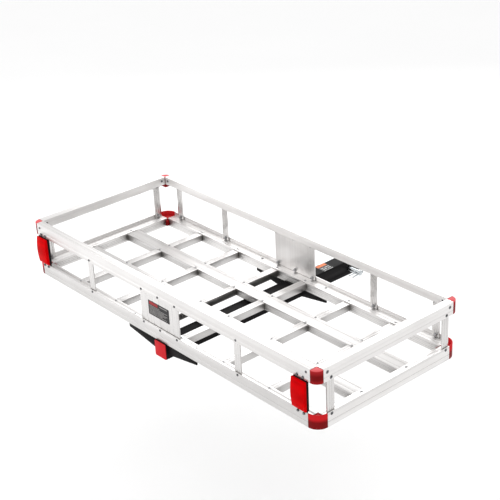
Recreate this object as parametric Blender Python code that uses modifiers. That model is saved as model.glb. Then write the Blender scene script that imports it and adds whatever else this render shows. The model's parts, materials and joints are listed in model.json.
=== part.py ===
"""Hitch cargo carrier: an aluminium basket bolted to a square steel shank for a vehicle's receiver.

Metres. X runs across the vehicle, +Y points at it, +Z is up. The basket is laid out about its
own centre, with z = 0 on the underside of the lower frame. The empty carrier_root then shifts
everything so that the world's origin is on the shank's top face, above the hitch pin.
"""

import math

import bmesh
import bpy
from mathutils import Matrix, Vector

# ---- driving dimensions -------------------------------------------------------------------
LENGTH = 1.245  # basket, across the vehicle, over the lower frame's outer faces
WIDTH = 0.514  # basket, along the vehicle
HEIGHT = 0.1688  # underside of the lower frame to the top of the upper frame
GAP = 0.0003  # clearance between pieces that touch

# Grooves drawn along the extrusions
GROOVE_WIDTH = 0.0016
GROOVE_DEPTH = 0.0008

# Lower frame: a closed box with a lip on its outer side
LOWER_RAIL_WIDTH = 0.032
LEDGE_HEIGHT = 0.028
LIP_HEIGHT = 0.0404
LIP_THICKNESS = 0.003
LOWER_RAIL_WALL = 0.0025
LEDGE_GROOVES = (0.021, 0.024)  # from the outer face
LIP_INNER_GROOVE = 0.006  # above the ledge
LOWER_OUTER_GROOVES = (0.0154, 0.0344, 0.0374)  # above the underside
BOX_SIDE_GROOVES = (0.008, 0.013, 0.018)  # above the underside
LOWER_CAP_REACH = 0.0342  # end of a lower rail to the outer face of the rail it meets
LOWER_CAP_RADIUS = 0.0332
LOWER_CAP_WALL = 0.003
LOWER_CAP_FLOOR = 0.0262
CORNER_POST_SIZE = 0.009
CORNER_POST_LOW = 0.004
CORNER_POST_HIGH = 0.0215

# Upper frame: a closed box with a skirt hanging from its outer side
UPPER_RAIL_WIDTH = 0.0225
UPPER_BOX_BOTTOM = 0.1432
SKIRT_BOTTOM = 0.131
SKIRT_THICKNESS = 0.003
UPPER_RAIL_WALL = 0.0022
UPPER_TOP_GROOVE = 0.006  # from either edge of the top
UPPER_OUTER_GROOVE = 0.1434  # above the lower frame's underside
UPPER_CAP_REACH = 0.0232
UPPER_CAP_RADIUS = 0.0224
UPPER_CAP_WALL = 0.003
UPPER_CAP_DROP = 0.0008  # the cap's top sits this far below the rails' tops
UPPER_CAP_ROUNDING = 0.0008

# Floor
LONG_SLAT_WIDTH = 0.044
LONG_SLAT_OFFSET = 0.0824  # centre line of the basket to the centre of a long slat
LONG_SLAT_BOTTOM = 0.003
LONG_SLAT_TOP = 0.0265
LONG_SLAT_TOP_GROOVES = (0.011, -0.011)  # from its centre line
LONG_SLAT_SIDE_GROOVES = (0.008, 0.0125, 0.017)  # above the lower frame's underside
CROSS_SLAT_WIDTH = 0.025
CROSS_SLAT_PLACES = (-0.4214, -0.2422, -0.0622, 0.0622, 0.2422, 0.4214)
CROSS_SLAT_BOTTOM = 0.004
CROSS_SLAT_TOP = 0.0255
CROSS_SLAT_TOP_GROOVES = (0.0045, -0.0045)
SLAT_WALL = 0.002

# Uprights between the frames
UPRIGHT_THICKNESS = 0.0032
POST_WIDTH = 0.025
REAR_POST_OFFSET = 0.3263
FRONT_POST_OFFSETS = (-0.5506, -0.3218, 0.3218, 0.5506)
END_POST_OFFSET = 0.2087
POST_GROOVES = (-0.004, 0.004)  # from its centre line, on both faces
PLATE_WIDTH = 0.170
PLATE_GROOVE_PITCH = 0.029
PLATE_GROOVES = 5
PLATE_GROOVE_WIDTH = 0.0026
PLATE_GROOVE_DEPTH = 0.001

# Reflectors on the rear side
REFLECTOR_PLACES = {"left": -0.571, "right": 0.5645}
LENS_WIDTH = 0.050
LENS_LOW = 0.0452
LENS_HIGH = 0.1300
LENS_EDGE_DEPTH = 0.0055
LENS_BULGE = 0.0042
LENS_WALL = 0.0025
LENS_ROUNDING = 0.002
HOUSING_BOSS_WIDTH = 0.048
HOUSING_PLATE_WIDTH = 0.038
HOUSING_BOSS_FRONT = 0.002  # how far the boss stands out of the frame's outer face
HOUSING_BOSS_INSET = 0.001  # the back plate stands this far behind the boss
HOUSING_ROUNDING = 0.001

# Shank and its brackets
SHANK_SIZE = 0.049
SHANK_WALL = 0.004
SHANK_CORNER = 0.0045
SHANK_REAR_END = -0.2595
SHANK_FRONT_END = 0.500
BRACKET_TIP = 0.152
BRACKET_ROOT_DEPTH = 0.033
BRACKET_TIP_DEPTH = 0.0125
BRACKET_THICKNESS = 0.004
BRACKET_FLANGE = 0.028
BRACKET_PLACES = {"rear": -0.2545, "front": 0.2295}
PLUG_HEAD_SIZE = 0.0475
PLUG_HEAD_THICKNESS = 0.0024
PLUG_HEAD_CORNER = 0.003
PLUG_HEAD_ROUNDING = 0.0008
PLUG_SPIGOT_LENGTH = 0.022
PLUG_SPIGOT_SUNK = 0.001  # the spigot starts this far inside the head
PLUG_WALL = 0.003
PLUG_HOLLOW_CORNER = 0.002

# Hitch pin and its spring clip
PIN_PLACE = 0.4513
PIN_RADIUS = 0.008
PIN_HOLE_RADIUS = 0.0084
PIN_END = 0.077
PIN_TIP_TAPER = 0.002
PIN_TIP_SHARE = 0.75  # of the radius
PIN_BEND_START = -0.032
PIN_BEND_RADIUS = 0.016
PIN_HANDLE_LENGTH = 0.042
CLIP_PLACE = 0.062
CLIP_WIRE_RADIUS = 0.0019
CLIP_HOLE_RADIUS = 0.0024
CLIP_LEG_END = 0.035
CLIP_LOOP_CENTRE = 0.0165
CLIP_LOOP_RADIUS = 0.0065
CLIP_SPRING_GAP = 0.0004  # between the pin and the spring leg
CLIP_FLARE_END = 0.021
CLIP_FLARE_LENGTH = 0.008
CLIP_FLARE_DROP = 0.002

SHANK_TOP = -GAP
SHANK_AXIS_HEIGHT = SHANK_TOP - SHANK_SIZE / 2
UPRIGHT_LOW = LEDGE_HEIGHT + GAP
UPRIGHT_HIGH = UPPER_BOX_BOTTOM - GAP
UPRIGHT_FACE = LIP_THICKNESS + GAP  # outer face of the frame to the outer face of an upright

# Each side of the basket: the turn about Z that takes the rear side to it, and the distance
# from the basket's centre to the frame's outer face there.
SIDES = {
    "rear": (0.0, WIDTH / 2),
    "right": (math.pi / 2, LENGTH / 2),
    "front": (math.pi, WIDTH / 2),
    "left": (-math.pi / 2, LENGTH / 2),
}

# Each corner: the signs of its x and y, and the turn about Z that takes the front right one to it.
CORNERS = {
    "front_right": (1, 1, 0.0),
    "front_left": (-1, 1, math.pi / 2),
    "rear_left": (-1, -1, math.pi),
    "rear_right": (1, -1, -math.pi / 2),
}


# ---- scene and collections ----------------------------------------------------------------
def clear_scene():
    for obj in list(bpy.data.objects):
        bpy.data.objects.remove(obj, do_unlink=True)


def new_collection(name):
    collection = bpy.data.collections.new(name)
    bpy.context.scene.collection.children.link(collection)
    return collection


def new_material(name, colour, roughness, metallic):
    material = bpy.data.materials.new(name)
    material.use_nodes = True
    shader = material.node_tree.nodes["Principled BSDF"]
    shader.inputs["Base Color"].default_value = (*colour, 1.0)
    shader.inputs["Roughness"].default_value = roughness
    shader.inputs["Metallic"].default_value = metallic
    material.diffuse_color = (*colour, 1.0)
    return material


clear_scene()
PARTS = new_collection("hitch_cargo_carrier")
CUTTERS = new_collection("carrier_cutters")
CUTTERS.hide_render = True

ALUMINIUM = new_material("aluminium", (0.86, 0.86, 0.85), 0.32, 1.0)
CAP_PLASTIC = new_material("cap_plastic", (0.36, 0.012, 0.016), 0.42, 0.0)
LENS_PLASTIC = new_material("lens_plastic", (0.62, 0.0, 0.0), 0.18, 0.0)
HOUSING_PLASTIC = new_material("housing_plastic", (0.012, 0.012, 0.013), 0.5, 0.0)
BLACK_STEEL = new_material("black_steel", (0.018, 0.017, 0.018), 0.38, 0.0)
PLUG_PLASTIC = new_material("plug_plastic", (0.66, 0.035, 0.045), 0.45, 0.0)
PLATED_STEEL = new_material("plated_steel", (0.75, 0.75, 0.76), 0.22, 1.0)

ROOT = bpy.data.objects.new("carrier_root", None)
ROOT.location = (0.0, -PIN_PLACE, -SHANK_TOP)
PARTS.objects.link(ROOT)


# ---- building blocks ----------------------------------------------------------------------
def grooved(start, end, centres=(), width=GROOVE_WIDTH, depth=GROOVE_DEPTH):
    """The points of a straight edge, end left out, with a V groove at each distance in centres.

    The outline runs anticlockwise, so its material is to the left of the edge.
    """
    start = Vector(start)
    along = (Vector(end) - start).normalized()
    inward = Vector((-along.y, along.x))
    points = [start]
    for centre in centres:
        middle = start + along * centre
        points += [
            middle - along * (width / 2),
            middle + inward * depth,
            middle + along * (width / 2),
        ]
    return points


def rectangle(x0, y0, x1, y1):
    return [(x0, y0), (x1, y0), (x1, y1), (x0, y1)]


def arc(centre, radius, start, end, steps):
    """Points of an arc, both ends included; start and end are in degrees."""
    points = []
    for step in range(steps + 1):
        angle = math.radians(start + (end - start) * step / steps)
        points.append((centre[0] + radius * math.cos(angle), centre[1] + radius * math.sin(angle)))
    return points


def rounded_square(size, corner, steps=4):
    """A square about the origin with rounded corners."""
    reach = size / 2 - corner
    points = []
    for quarter, (sx, sy) in enumerate(((1, 1), (-1, 1), (-1, -1), (1, -1))):
        points += arc((sx * reach, sy * reach), corner, 90 * quarter, 90 * quarter + 90, steps)
    return points


def mesh_of(obj):
    """The evaluated mesh of a helper object in world space, welded and facing out; obj goes."""
    bpy.context.view_layer.update()
    graph = bpy.context.evaluated_depsgraph_get()
    mesh = bpy.data.meshes.new_from_object(obj.evaluated_get(graph), depsgraph=graph)
    mesh.transform(obj.matrix_world)
    mesh.name = obj.name
    shape = bmesh.new()
    shape.from_mesh(mesh)
    bmesh.ops.remove_doubles(shape, verts=shape.verts, dist=0.000001)
    bmesh.ops.recalc_face_normals(shape, faces=shape.faces)
    if shape.calc_volume(signed=True) < 0:
        bmesh.ops.reverse_faces(shape, faces=shape.faces)
    shape.to_mesh(mesh)
    shape.free()
    bpy.data.objects.remove(obj, do_unlink=True)
    return mesh


def helper(name, data, matrix=None):
    """An object that is only used to make another: a cutter, or a shape still to be joined."""
    obj = bpy.data.objects.new(name, data)
    CUTTERS.objects.link(obj)
    obj.hide_render = True
    obj.display_type = "WIRE"
    if matrix is not None:
        obj.matrix_world = matrix
    return obj


def prism(name, loops, length, matrix=None):
    """A flat outline, holes included, drawn out by length, half of it either side of its plane."""
    curve = bpy.data.curves.new(name, "CURVE")
    curve.dimensions = "2D"
    curve.fill_mode = "BOTH"
    curve.extrude = length / 2
    for loop in loops:
        spline = curve.splines.new("POLY")
        spline.points.add(len(loop) - 1)
        for point, place in zip(spline.points, loop):
            point.co = (place[0], place[1], 0.0, 1.0)
        spline.use_cyclic_u = True
    obj = bpy.data.objects.new(name, curve)
    CUTTERS.objects.link(obj)
    return helper(name, mesh_of(obj), matrix)


def upright_prism(name, loops, low, high):
    """A plan outline that stands between two heights."""
    return prism(name, loops, high - low, Matrix.Translation((0, 0, (low + high) / 2)))


def block(name, low, high):
    """A box between two corners."""
    shape = bmesh.new()
    bmesh.ops.create_cube(shape, size=1.0)
    size = Vector(high) - Vector(low)
    bmesh.ops.scale(shape, vec=size, verts=shape.verts)
    bmesh.ops.translate(shape, vec=(Vector(low) + Vector(high)) / 2, verts=shape.verts)
    mesh = bpy.data.meshes.new(name)
    shape.to_mesh(mesh)
    shape.free()
    return helper(name, mesh)


def rod(name, radius, length, matrix, sides=32):
    """A round cutter along its own Z."""
    shape = bmesh.new()
    bmesh.ops.create_cone(
        shape, cap_ends=True, segments=sides, radius1=radius, radius2=radius, depth=length
    )
    mesh = bpy.data.meshes.new(name)
    shape.to_mesh(mesh)
    shape.free()
    return helper(name, mesh, matrix)


def wire(name, points, radius, resolution, taper=()):
    """A round bar along points; taper gives the share of the radius at the last few of them."""
    curve = bpy.data.curves.new(name, "CURVE")
    curve.dimensions = "3D"
    curve.bevel_depth = radius
    curve.bevel_resolution = resolution
    curve.use_fill_caps = True
    spline = curve.splines.new("POLY")
    spline.points.add(len(points) - 1)
    for point, place in zip(spline.points, points):
        point.co = (*place, 1.0)
    for back, share in enumerate(reversed(taper), start=1):
        spline.points[-back].radius = share
    obj = bpy.data.objects.new(name, curve)
    CUTTERS.objects.link(obj)
    return helper(name, mesh_of(obj))


def boolean(base, operation, *others):
    """Joins others to base, or cuts them from it; the others go."""
    for other in others:
        modifier = base.modifiers.new(operation.lower(), "BOOLEAN")
        modifier.operation = operation
        modifier.object = other
    name = base.name
    result = helper(name, mesh_of(base))
    for other in others:
        bpy.data.objects.remove(other, do_unlink=True)
    return result


def bevelled(base, width, segments, angle=40):
    modifier = base.modifiers.new("bevel", "BEVEL")
    modifier.width = width
    modifier.segments = segments
    modifier.limit_method = "ANGLE"
    modifier.angle_limit = math.radians(angle)
    return helper(base.name, mesh_of(base))


def finished(shape, material, smooth=False):
    """The mesh of a helper object, with its material; the helper goes."""
    mesh = mesh_of(shape)
    mesh.materials.clear()
    mesh.materials.append(material)
    if smooth:
        mesh.shade_smooth()
        mesh.set_sharp_from_angle(angle=math.radians(35))
    return mesh


def part(name, mesh, location=(0, 0, 0), rotation=(0, 0, 0), parent=ROOT):
    """A sub-part: one object that shows mesh, placed in the basket's own frame."""
    obj = bpy.data.objects.new(name, mesh)
    PARTS.objects.link(obj)
    obj.parent = parent
    obj.location = location
    obj.rotation_euler = rotation
    return obj


def on_side(side, along=0.0):
    """Where the frame's outer face is on a side, along metres from its middle, and its turn."""
    turn, distance = SIDES[side]
    place = Matrix.Rotation(turn, 4, "Z") @ Vector((along, -distance, 0.0))
    return tuple(place), turn


# An extrusion's section is drawn in (inward, up), and its length then runs along the side.
SECTION_TO_SIDE = Matrix.Rotation(math.pi / 2, 4, "Z") @ Matrix.Rotation(math.pi / 2, 4, "X")


# ---- lower frame --------------------------------------------------------------------------
def lower_rail_mesh(length):
    width, ledge, lip, thick = LOWER_RAIL_WIDTH, LEDGE_HEIGHT, LIP_HEIGHT, LIP_THICKNESS
    outline = (
        grooved((0, 0), (width, 0))
        + grooved((width, 0), (width, ledge), BOX_SIDE_GROOVES)
        + grooved((width, ledge), (thick, ledge), [width - x for x in reversed(LEDGE_GROOVES)])
        + grooved((thick, ledge), (thick, lip), (LIP_INNER_GROOVE,))
        + grooved((thick, lip), (0, lip))
        + grooved((0, lip), (0, 0), [lip - z for z in reversed(LOWER_OUTER_GROOVES)])
    )
    wall = LOWER_RAIL_WALL
    hollow = rectangle(thick, wall, width - wall, ledge - wall)
    return finished(prism("lower_rail", [outline, hollow], length, SECTION_TO_SIDE), ALUMINIUM)


def sector(reach, radius, steps):
    """Plan of a corner piece that fills the square between two rails' ends, its corner rounded."""
    centre = reach - radius
    return [(GAP, GAP), (reach, GAP), *arc((centre, centre), radius, 0, 90, steps), (GAP, reach)]


def sector_hollow(reach, radius, wall, steps):
    """Plan of the hollow inside a corner piece, a wall's thickness from its sides all round."""
    centre = reach - radius
    start = math.degrees(math.asin((wall - centre) / (radius - wall)))
    return [(wall, wall), *arc((centre, centre), radius - wall, start, 90 - start, steps)]


def lower_cap_mesh():
    reach, radius, wall = LOWER_CAP_REACH, LOWER_CAP_RADIUS, LOWER_CAP_WALL
    centre = reach - radius
    plan = sector(reach, radius, 12)
    floor = upright_prism("lower_cap", [plan], 0.0, LOWER_CAP_FLOOR)
    inner_arc = arc((centre, centre), radius - wall, 90, 0, 12)
    rim_plan = plan[1:] + [(GAP, reach - wall), *inner_arc, (reach - wall, GAP)]
    rim = upright_prism("lower_cap_rim", [rim_plan], wall, LIP_HEIGHT)
    post_edge = reach - LOWER_RAIL_WIDTH - GAP
    post_start = post_edge - CORNER_POST_SIZE
    post_plan = rectangle(post_start, post_start, post_edge, post_edge)
    post = upright_prism("lower_cap_post", [post_plan], CORNER_POST_LOW, CORNER_POST_HIGH)
    cavity_plan = sector_hollow(reach, radius, wall, 12)
    cavity = upright_prism("lower_cap_cavity", [cavity_plan], -wall, LOWER_CAP_FLOOR - wall)
    shape = boolean(boolean(floor, "UNION", rim, post), "DIFFERENCE", cavity)
    return finished(shape, CAP_PLASTIC, smooth=True)


def build_lower_frame():
    long_mesh = lower_rail_mesh(LENGTH - 2 * LOWER_CAP_REACH)
    short_mesh = lower_rail_mesh(WIDTH - 2 * LOWER_CAP_REACH)
    for side in SIDES:
        place, turn = on_side(side)
        mesh = long_mesh if side in ("rear", "front") else short_mesh
        part("lower_rail_" + side, mesh, place, (0, 0, turn))
    cap = lower_cap_mesh()
    for corner, (sx, sy, turn) in CORNERS.items():
        place = (sx * (LENGTH / 2 - LOWER_CAP_REACH), sy * (WIDTH / 2 - LOWER_CAP_REACH), 0)
        part("lower_corner_cap_" + corner, cap, place, (0, 0, turn))


# ---- upper frame --------------------------------------------------------------------------
def upper_rail_mesh(length):
    width, low, high, thick = UPPER_RAIL_WIDTH, UPPER_BOX_BOTTOM, HEIGHT, SKIRT_THICKNESS
    outline = (
        grooved((0, SKIRT_BOTTOM), (thick, SKIRT_BOTTOM))
        + grooved((thick, SKIRT_BOTTOM), (thick, low))
        + grooved((thick, low), (width, low))
        + grooved((width, low), (width, high))
        + grooved((width, high), (0, high), (UPPER_TOP_GROOVE, width - UPPER_TOP_GROOVE))
        + grooved((0, high), (0, SKIRT_BOTTOM), (high - UPPER_OUTER_GROOVE,))
    )
    wall = UPPER_RAIL_WALL
    hollow = rectangle(wall, low + wall, width - wall, high - wall)
    return finished(prism("upper_rail", [outline, hollow], length, SECTION_TO_SIDE), ALUMINIUM)


def upper_cap_mesh():
    reach, radius, wall = UPPER_CAP_REACH, UPPER_CAP_RADIUS, UPPER_CAP_WALL
    top = HEIGHT - UPPER_CAP_DROP
    body = upright_prism("upper_cap", [sector(reach, radius, 10)], SKIRT_BOTTOM, top)
    body = bevelled(body, UPPER_CAP_ROUNDING, 2)
    cavity_plan = sector_hollow(reach, radius, wall, 10)
    cavity = upright_prism("upper_cap_cavity", [cavity_plan], SKIRT_BOTTOM - wall, top - wall)
    return finished(boolean(body, "DIFFERENCE", cavity), CAP_PLASTIC, smooth=True)


def build_upper_frame():
    long_mesh = upper_rail_mesh(LENGTH - 2 * UPPER_CAP_REACH)
    short_mesh = upper_rail_mesh(WIDTH - 2 * UPPER_CAP_REACH)
    for side in SIDES:
        place, turn = on_side(side)
        mesh = long_mesh if side in ("rear", "front") else short_mesh
        part("upper_rail_" + side, mesh, place, (0, 0, turn))
    cap = upper_cap_mesh()
    for corner, (sx, sy, turn) in CORNERS.items():
        place = (sx * (LENGTH / 2 - UPPER_CAP_REACH), sy * (WIDTH / 2 - UPPER_CAP_REACH), 0)
        part("upper_corner_cap_" + corner, cap, place, (0, 0, turn))


# ---- floor --------------------------------------------------------------------------------
def slat_section(width, low, high, top_grooves, side_grooves):
    """Section of a floor slat in (across, up): a closed box with grooved sides and top."""
    half = width / 2
    outline = (
        grooved((-half, low), (half, low))
        + grooved((half, low), (half, high), [z - low for z in side_grooves])
        + grooved((half, high), (-half, high), [half - x for x in top_grooves])
        + grooved((-half, high), (-half, low), [high - z for z in reversed(side_grooves)])
    )
    hollow = rectangle(-half + SLAT_WALL, low + SLAT_WALL, half - SLAT_WALL, high - SLAT_WALL)
    return [outline, hollow]


def build_floor():
    inner_x = LENGTH / 2 - LOWER_RAIL_WIDTH - GAP
    inner_y = WIDTH / 2 - LOWER_RAIL_WIDTH - GAP
    section = slat_section(
        LONG_SLAT_WIDTH, LONG_SLAT_BOTTOM, LONG_SLAT_TOP, LONG_SLAT_TOP_GROOVES, LONG_SLAT_SIDE_GROOVES
    )
    long_mesh = finished(prism("long_slat", section, 2 * inner_x, SECTION_TO_SIDE), ALUMINIUM)
    part("long_slat_front", long_mesh, (0, LONG_SLAT_OFFSET, 0))
    part("long_slat_rear", long_mesh, (0, -LONG_SLAT_OFFSET, 0))

    # A cross slat is three lengths, one for each bay between the rails and the long slats.
    slat_edge = LONG_SLAT_OFFSET + LONG_SLAT_WIDTH / 2 + GAP
    middle_edge = LONG_SLAT_OFFSET - LONG_SLAT_WIDTH / 2 - GAP
    section = slat_section(
        CROSS_SLAT_WIDTH, CROSS_SLAT_BOTTOM, CROSS_SLAT_TOP, CROSS_SLAT_TOP_GROOVES, ()
    )
    outer_mesh = finished(
        prism("cross_slat_outer", section, inner_y - slat_edge, SECTION_TO_SIDE), ALUMINIUM
    )
    middle_mesh = finished(
        prism("cross_slat_middle", section, 2 * middle_edge, SECTION_TO_SIDE), ALUMINIUM
    )
    outer_centre = (inner_y + slat_edge) / 2
    bays = (
        ("front", outer_mesh, outer_centre),
        ("middle", middle_mesh, 0),
        ("rear", outer_mesh, -outer_centre),
    )
    for number, x in enumerate(CROSS_SLAT_PLACES, start=1):
        for bay, mesh, y in bays:
            part(f"cross_slat_{number}_{bay}", mesh, (x, y, 0), (0, 0, math.pi / 2))


# ---- uprights -----------------------------------------------------------------------------
def upright_mesh(name, width, outer_grooves, inner_grooves, size=(GROOVE_WIDTH, GROOVE_DEPTH)):
    """A flat bar that stands behind the lip and the skirt; grooves are places across it."""
    half = width / 2
    outer, inner = UPRIGHT_FACE, UPRIGHT_FACE + UPRIGHT_THICKNESS
    outline = (
        grooved((-half, outer), (half, outer), [half + x for x in outer_grooves], *size)
        + grooved((half, outer), (half, inner))
        + grooved((half, inner), (-half, inner), [half - x for x in reversed(inner_grooves)])
        + grooved((-half, inner), (-half, outer))
    )
    return finished(upright_prism(name, [outline], UPRIGHT_LOW, UPRIGHT_HIGH), ALUMINIUM)


def build_uprights():
    post = upright_mesh("post", POST_WIDTH, POST_GROOVES, POST_GROOVES)
    places = [("rear", "left", -REAR_POST_OFFSET), ("rear", "right", REAR_POST_OFFSET)]
    # A side's own +X points left once it is turned to the front, so the front names run backwards.
    places += [("front", str(n), -x) for n, x in enumerate(FRONT_POST_OFFSETS, start=1)]
    places += [("right", "rear", -END_POST_OFFSET), ("right", "front", END_POST_OFFSET)]
    places += [("left", "rear", END_POST_OFFSET), ("left", "front", -END_POST_OFFSET)]
    for side, label, along in places:
        place, turn = on_side(side, along)
        part(f"post_{side}_{label}", post, place, (0, 0, turn))

    first_groove = -PLATE_GROOVE_PITCH * (PLATE_GROOVES - 1) / 2
    plate_grooves = [first_groove + PLATE_GROOVE_PITCH * n for n in range(PLATE_GROOVES)]
    groove_size = (PLATE_GROOVE_WIDTH, PLATE_GROOVE_DEPTH)
    plate = upright_mesh("centre_plate", PLATE_WIDTH, plate_grooves, (), groove_size)
    for side in ("rear", "front"):
        place, turn = on_side(side)
        part("centre_plate_" + side, plate, place, (0, 0, turn))


# ---- reflectors ---------------------------------------------------------------------------
def lens_section(inset):
    """Side view of the lens in (inward, up), its front an arc; inset leaves a wall round it."""
    back = -HOUSING_BOSS_FRONT - GAP
    low, high = LENS_LOW + inset, LENS_HIGH - inset
    shoulder = back - LENS_EDGE_DEPTH + inset
    half = (high - low) / 2
    radius = (half * half + LENS_BULGE * LENS_BULGE) / (2 * LENS_BULGE)
    spread = math.degrees(math.asin(half / radius))
    centre = (shoulder - LENS_BULGE + radius, (low + high) / 2)
    front = arc(centre, radius, 180 - spread, 180 + spread, 12)
    start = back if inset == 0 else back + LENS_WALL
    return [(start, low), (start, high), *front]


def build_reflectors():
    lens = prism("reflector_lens", [lens_section(0.0)], LENS_WIDTH, SECTION_TO_SIDE)
    lens = bevelled(lens, LENS_ROUNDING, 3, angle=50)
    hollow_width = LENS_WIDTH - 2 * LENS_WALL
    hollow = prism("lens_hollow", [lens_section(LENS_WALL)], hollow_width, SECTION_TO_SIDE)
    lens_mesh = finished(boolean(lens, "DIFFERENCE", hollow), LENS_PLASTIC, smooth=True)

    half_boss, half_plate = HOUSING_BOSS_WIDTH / 2, HOUSING_PLATE_WIDTH / 2
    plate_back = UPRIGHT_FACE + UPRIGHT_THICKNESS
    plate = block(
        "reflector_housing",
        (-half_plate, UPRIGHT_FACE, UPRIGHT_LOW),
        (half_plate, plate_back, UPRIGHT_HIGH),
    )
    boss = block(
        "housing_boss",
        (-half_boss, -HOUSING_BOSS_FRONT, LENS_LOW - GAP),
        (half_boss, plate_back - HOUSING_BOSS_INSET, LENS_HIGH + GAP),
    )
    boss = bevelled(boss, HOUSING_ROUNDING, 2)
    housing_mesh = finished(boolean(plate, "UNION", boss), HOUSING_PLASTIC)
    for side, along in REFLECTOR_PLACES.items():
        place, turn = on_side("rear", along)
        part("reflector_lens_" + side, lens_mesh, place, (0, 0, turn))
        part("reflector_housing_" + side, housing_mesh, place, (0, 0, turn))


# ---- shank, brackets and end plug ---------------------------------------------------------
# A section drawn in (x, z) is drawn out along Y.
SECTION_TO_SHANK = Matrix.Rotation(math.pi / 2, 4, "X")
ALONG_X = Matrix.Rotation(math.pi / 2, 4, "Y")
ALONG_Y = Matrix.Rotation(math.pi / 2, 4, "X")


def build_shank():
    length = SHANK_FRONT_END - SHANK_REAR_END
    bore = SHANK_SIZE - 2 * SHANK_WALL
    loops = [rounded_square(SHANK_SIZE, SHANK_CORNER), rounded_square(bore, SHANK_CORNER / 2)]
    tube = prism("hitch_shank", loops, length, SECTION_TO_SHANK)
    middle = (SHANK_FRONT_END + SHANK_REAR_END) / 2
    hole_place = Matrix.Translation((0, PIN_PLACE - middle, 0)) @ ALONG_X
    hole = rod("pin_hole", PIN_HOLE_RADIUS, 2 * SHANK_SIZE, hole_place)
    mesh = finished(boolean(tube, "DIFFERENCE", hole), BLACK_STEEL, smooth=True)
    part("hitch_shank", mesh, (0, middle, SHANK_AXIS_HEIGHT))


def plug_place(start, end):
    """Where a prism along Y stands between two distances from the tube's end."""
    return Matrix.Translation((0, (start + end) / 2, 0)) @ SECTION_TO_SHANK


def build_end_plug():
    thickness, length, sunk = PLUG_HEAD_THICKNESS, PLUG_SPIGOT_LENGTH, PLUG_SPIGOT_SUNK
    spigot_size = SHANK_SIZE - 2 * SHANK_WALL - 2 * GAP
    head_plan = [rounded_square(PLUG_HEAD_SIZE, PLUG_HEAD_CORNER)]
    head = prism("shank_end_plug", head_plan, thickness, plug_place(-thickness, 0))
    head = bevelled(head, PLUG_HEAD_ROUNDING, 2)
    spigot_plan = [rounded_square(spigot_size, SHANK_CORNER / 2)]
    spigot = prism("plug_spigot", spigot_plan, length + sunk, plug_place(-sunk, length))
    hollow_plan = [rounded_square(spigot_size - 2 * PLUG_WALL, PLUG_HOLLOW_CORNER)]
    hollow = prism("plug_hollow", hollow_plan, length, plug_place(sunk, length + sunk))
    shape = boolean(boolean(head, "UNION", spigot), "DIFFERENCE", hollow)
    mesh = finished(shape, PLUG_PLASTIC, smooth=True)
    part("shank_end_plug", mesh, (0, SHANK_REAR_END - GAP, SHANK_AXIS_HEIGHT))


def bracket_mesh(side):
    """An angle bracket from the shank's side to its tip: side is 1 on the right, -1 on the left."""
    start, tip, top = SHANK_SIZE / 2 + GAP, BRACKET_TIP, SHANK_TOP
    web_outline = [
        (side * start, -BRACKET_ROOT_DEPTH),
        (side * tip, -BRACKET_TIP_DEPTH),
        (side * tip, top),
        (side * start, top),
    ]
    web_middle = Matrix.Translation((0, BRACKET_THICKNESS / 2, 0)) @ SECTION_TO_SHANK
    web = prism("shank_bracket", [web_outline], BRACKET_THICKNESS, web_middle)
    low_x, high_x = sorted((side * start, side * tip))
    flange = block(
        "bracket_flange", (low_x, 0, top - BRACKET_THICKNESS), (high_x, BRACKET_FLANGE, top)
    )
    return finished(boolean(web, "UNION", flange), BLACK_STEEL)


def build_brackets():
    for label, side in (("left", -1), ("right", 1)):
        mesh = bracket_mesh(side)
        for row, y in BRACKET_PLACES.items():
            part(f"shank_bracket_{row}_{label}", mesh, (0, y, 0))


# ---- hitch pin and clip -------------------------------------------------------------------
def build_pin_and_clip():
    """The pin slides along X, so its origin is on that line; the clip slides along its own leg."""
    bend_centre = (PIN_BEND_START, -PIN_BEND_RADIUS)
    bend = arc(bend_centre, PIN_BEND_RADIUS, 180, 90, 6)
    handle_end = (PIN_BEND_START - PIN_BEND_RADIUS, -PIN_BEND_RADIUS - PIN_HANDLE_LENGTH)
    route = [handle_end, *bend, (PIN_END - PIN_TIP_TAPER, 0), (PIN_END, 0)]
    taper = (1.0, PIN_TIP_SHARE)
    bar = wire("hitch_pin", [(x, y, 0) for x, y in route], PIN_RADIUS, 6, taper)
    hole_place = Matrix.Translation((CLIP_PLACE, 0, 0)) @ ALONG_Y
    clip_hole = rod("clip_hole", CLIP_HOLE_RADIUS, 4 * PIN_RADIUS, hole_place, sides=12)
    pin_mesh = finished(boolean(bar, "DIFFERENCE", clip_hole), PLATED_STEEL, smooth=True)
    pin = part("hitch_pin", pin_mesh, (0, PIN_PLACE, SHANK_AXIS_HEIGHT))

    # The clip lies in the plane x = CLIP_PLACE: a straight leg through the pin, a round head
    # beyond it, and a spring leg that comes back just under the pin and flares at its end.
    drop = PIN_RADIUS + CLIP_WIRE_RADIUS + CLIP_SPRING_GAP
    loop_height = -drop / 2
    spread = 180 - math.degrees(math.asin(drop / 2 / CLIP_LOOP_RADIUS))
    head = arc((CLIP_LOOP_CENTRE, loop_height), CLIP_LOOP_RADIUS, spread, -spread, 12)
    flare_start = (CLIP_FLARE_LENGTH - CLIP_FLARE_END, -drop)
    flare_end = (-CLIP_FLARE_END, -drop - CLIP_FLARE_DROP)
    route = [(-CLIP_LEG_END, 0), *head, flare_start, flare_end]
    clip_shape = wire("hitch_pin_clip", [(0, y, z) for y, z in route], CLIP_WIRE_RADIUS, 2)
    clip_mesh = finished(clip_shape, PLATED_STEEL, smooth=True)
    part("hitch_pin_clip", clip_mesh, (CLIP_PLACE, 0, 0), parent=pin)


build_lower_frame()
build_upper_frame()
build_floor()
build_uprights()
build_reflectors()
build_shank()
build_end_plug()
build_brackets()
build_pin_and_clip()
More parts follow.
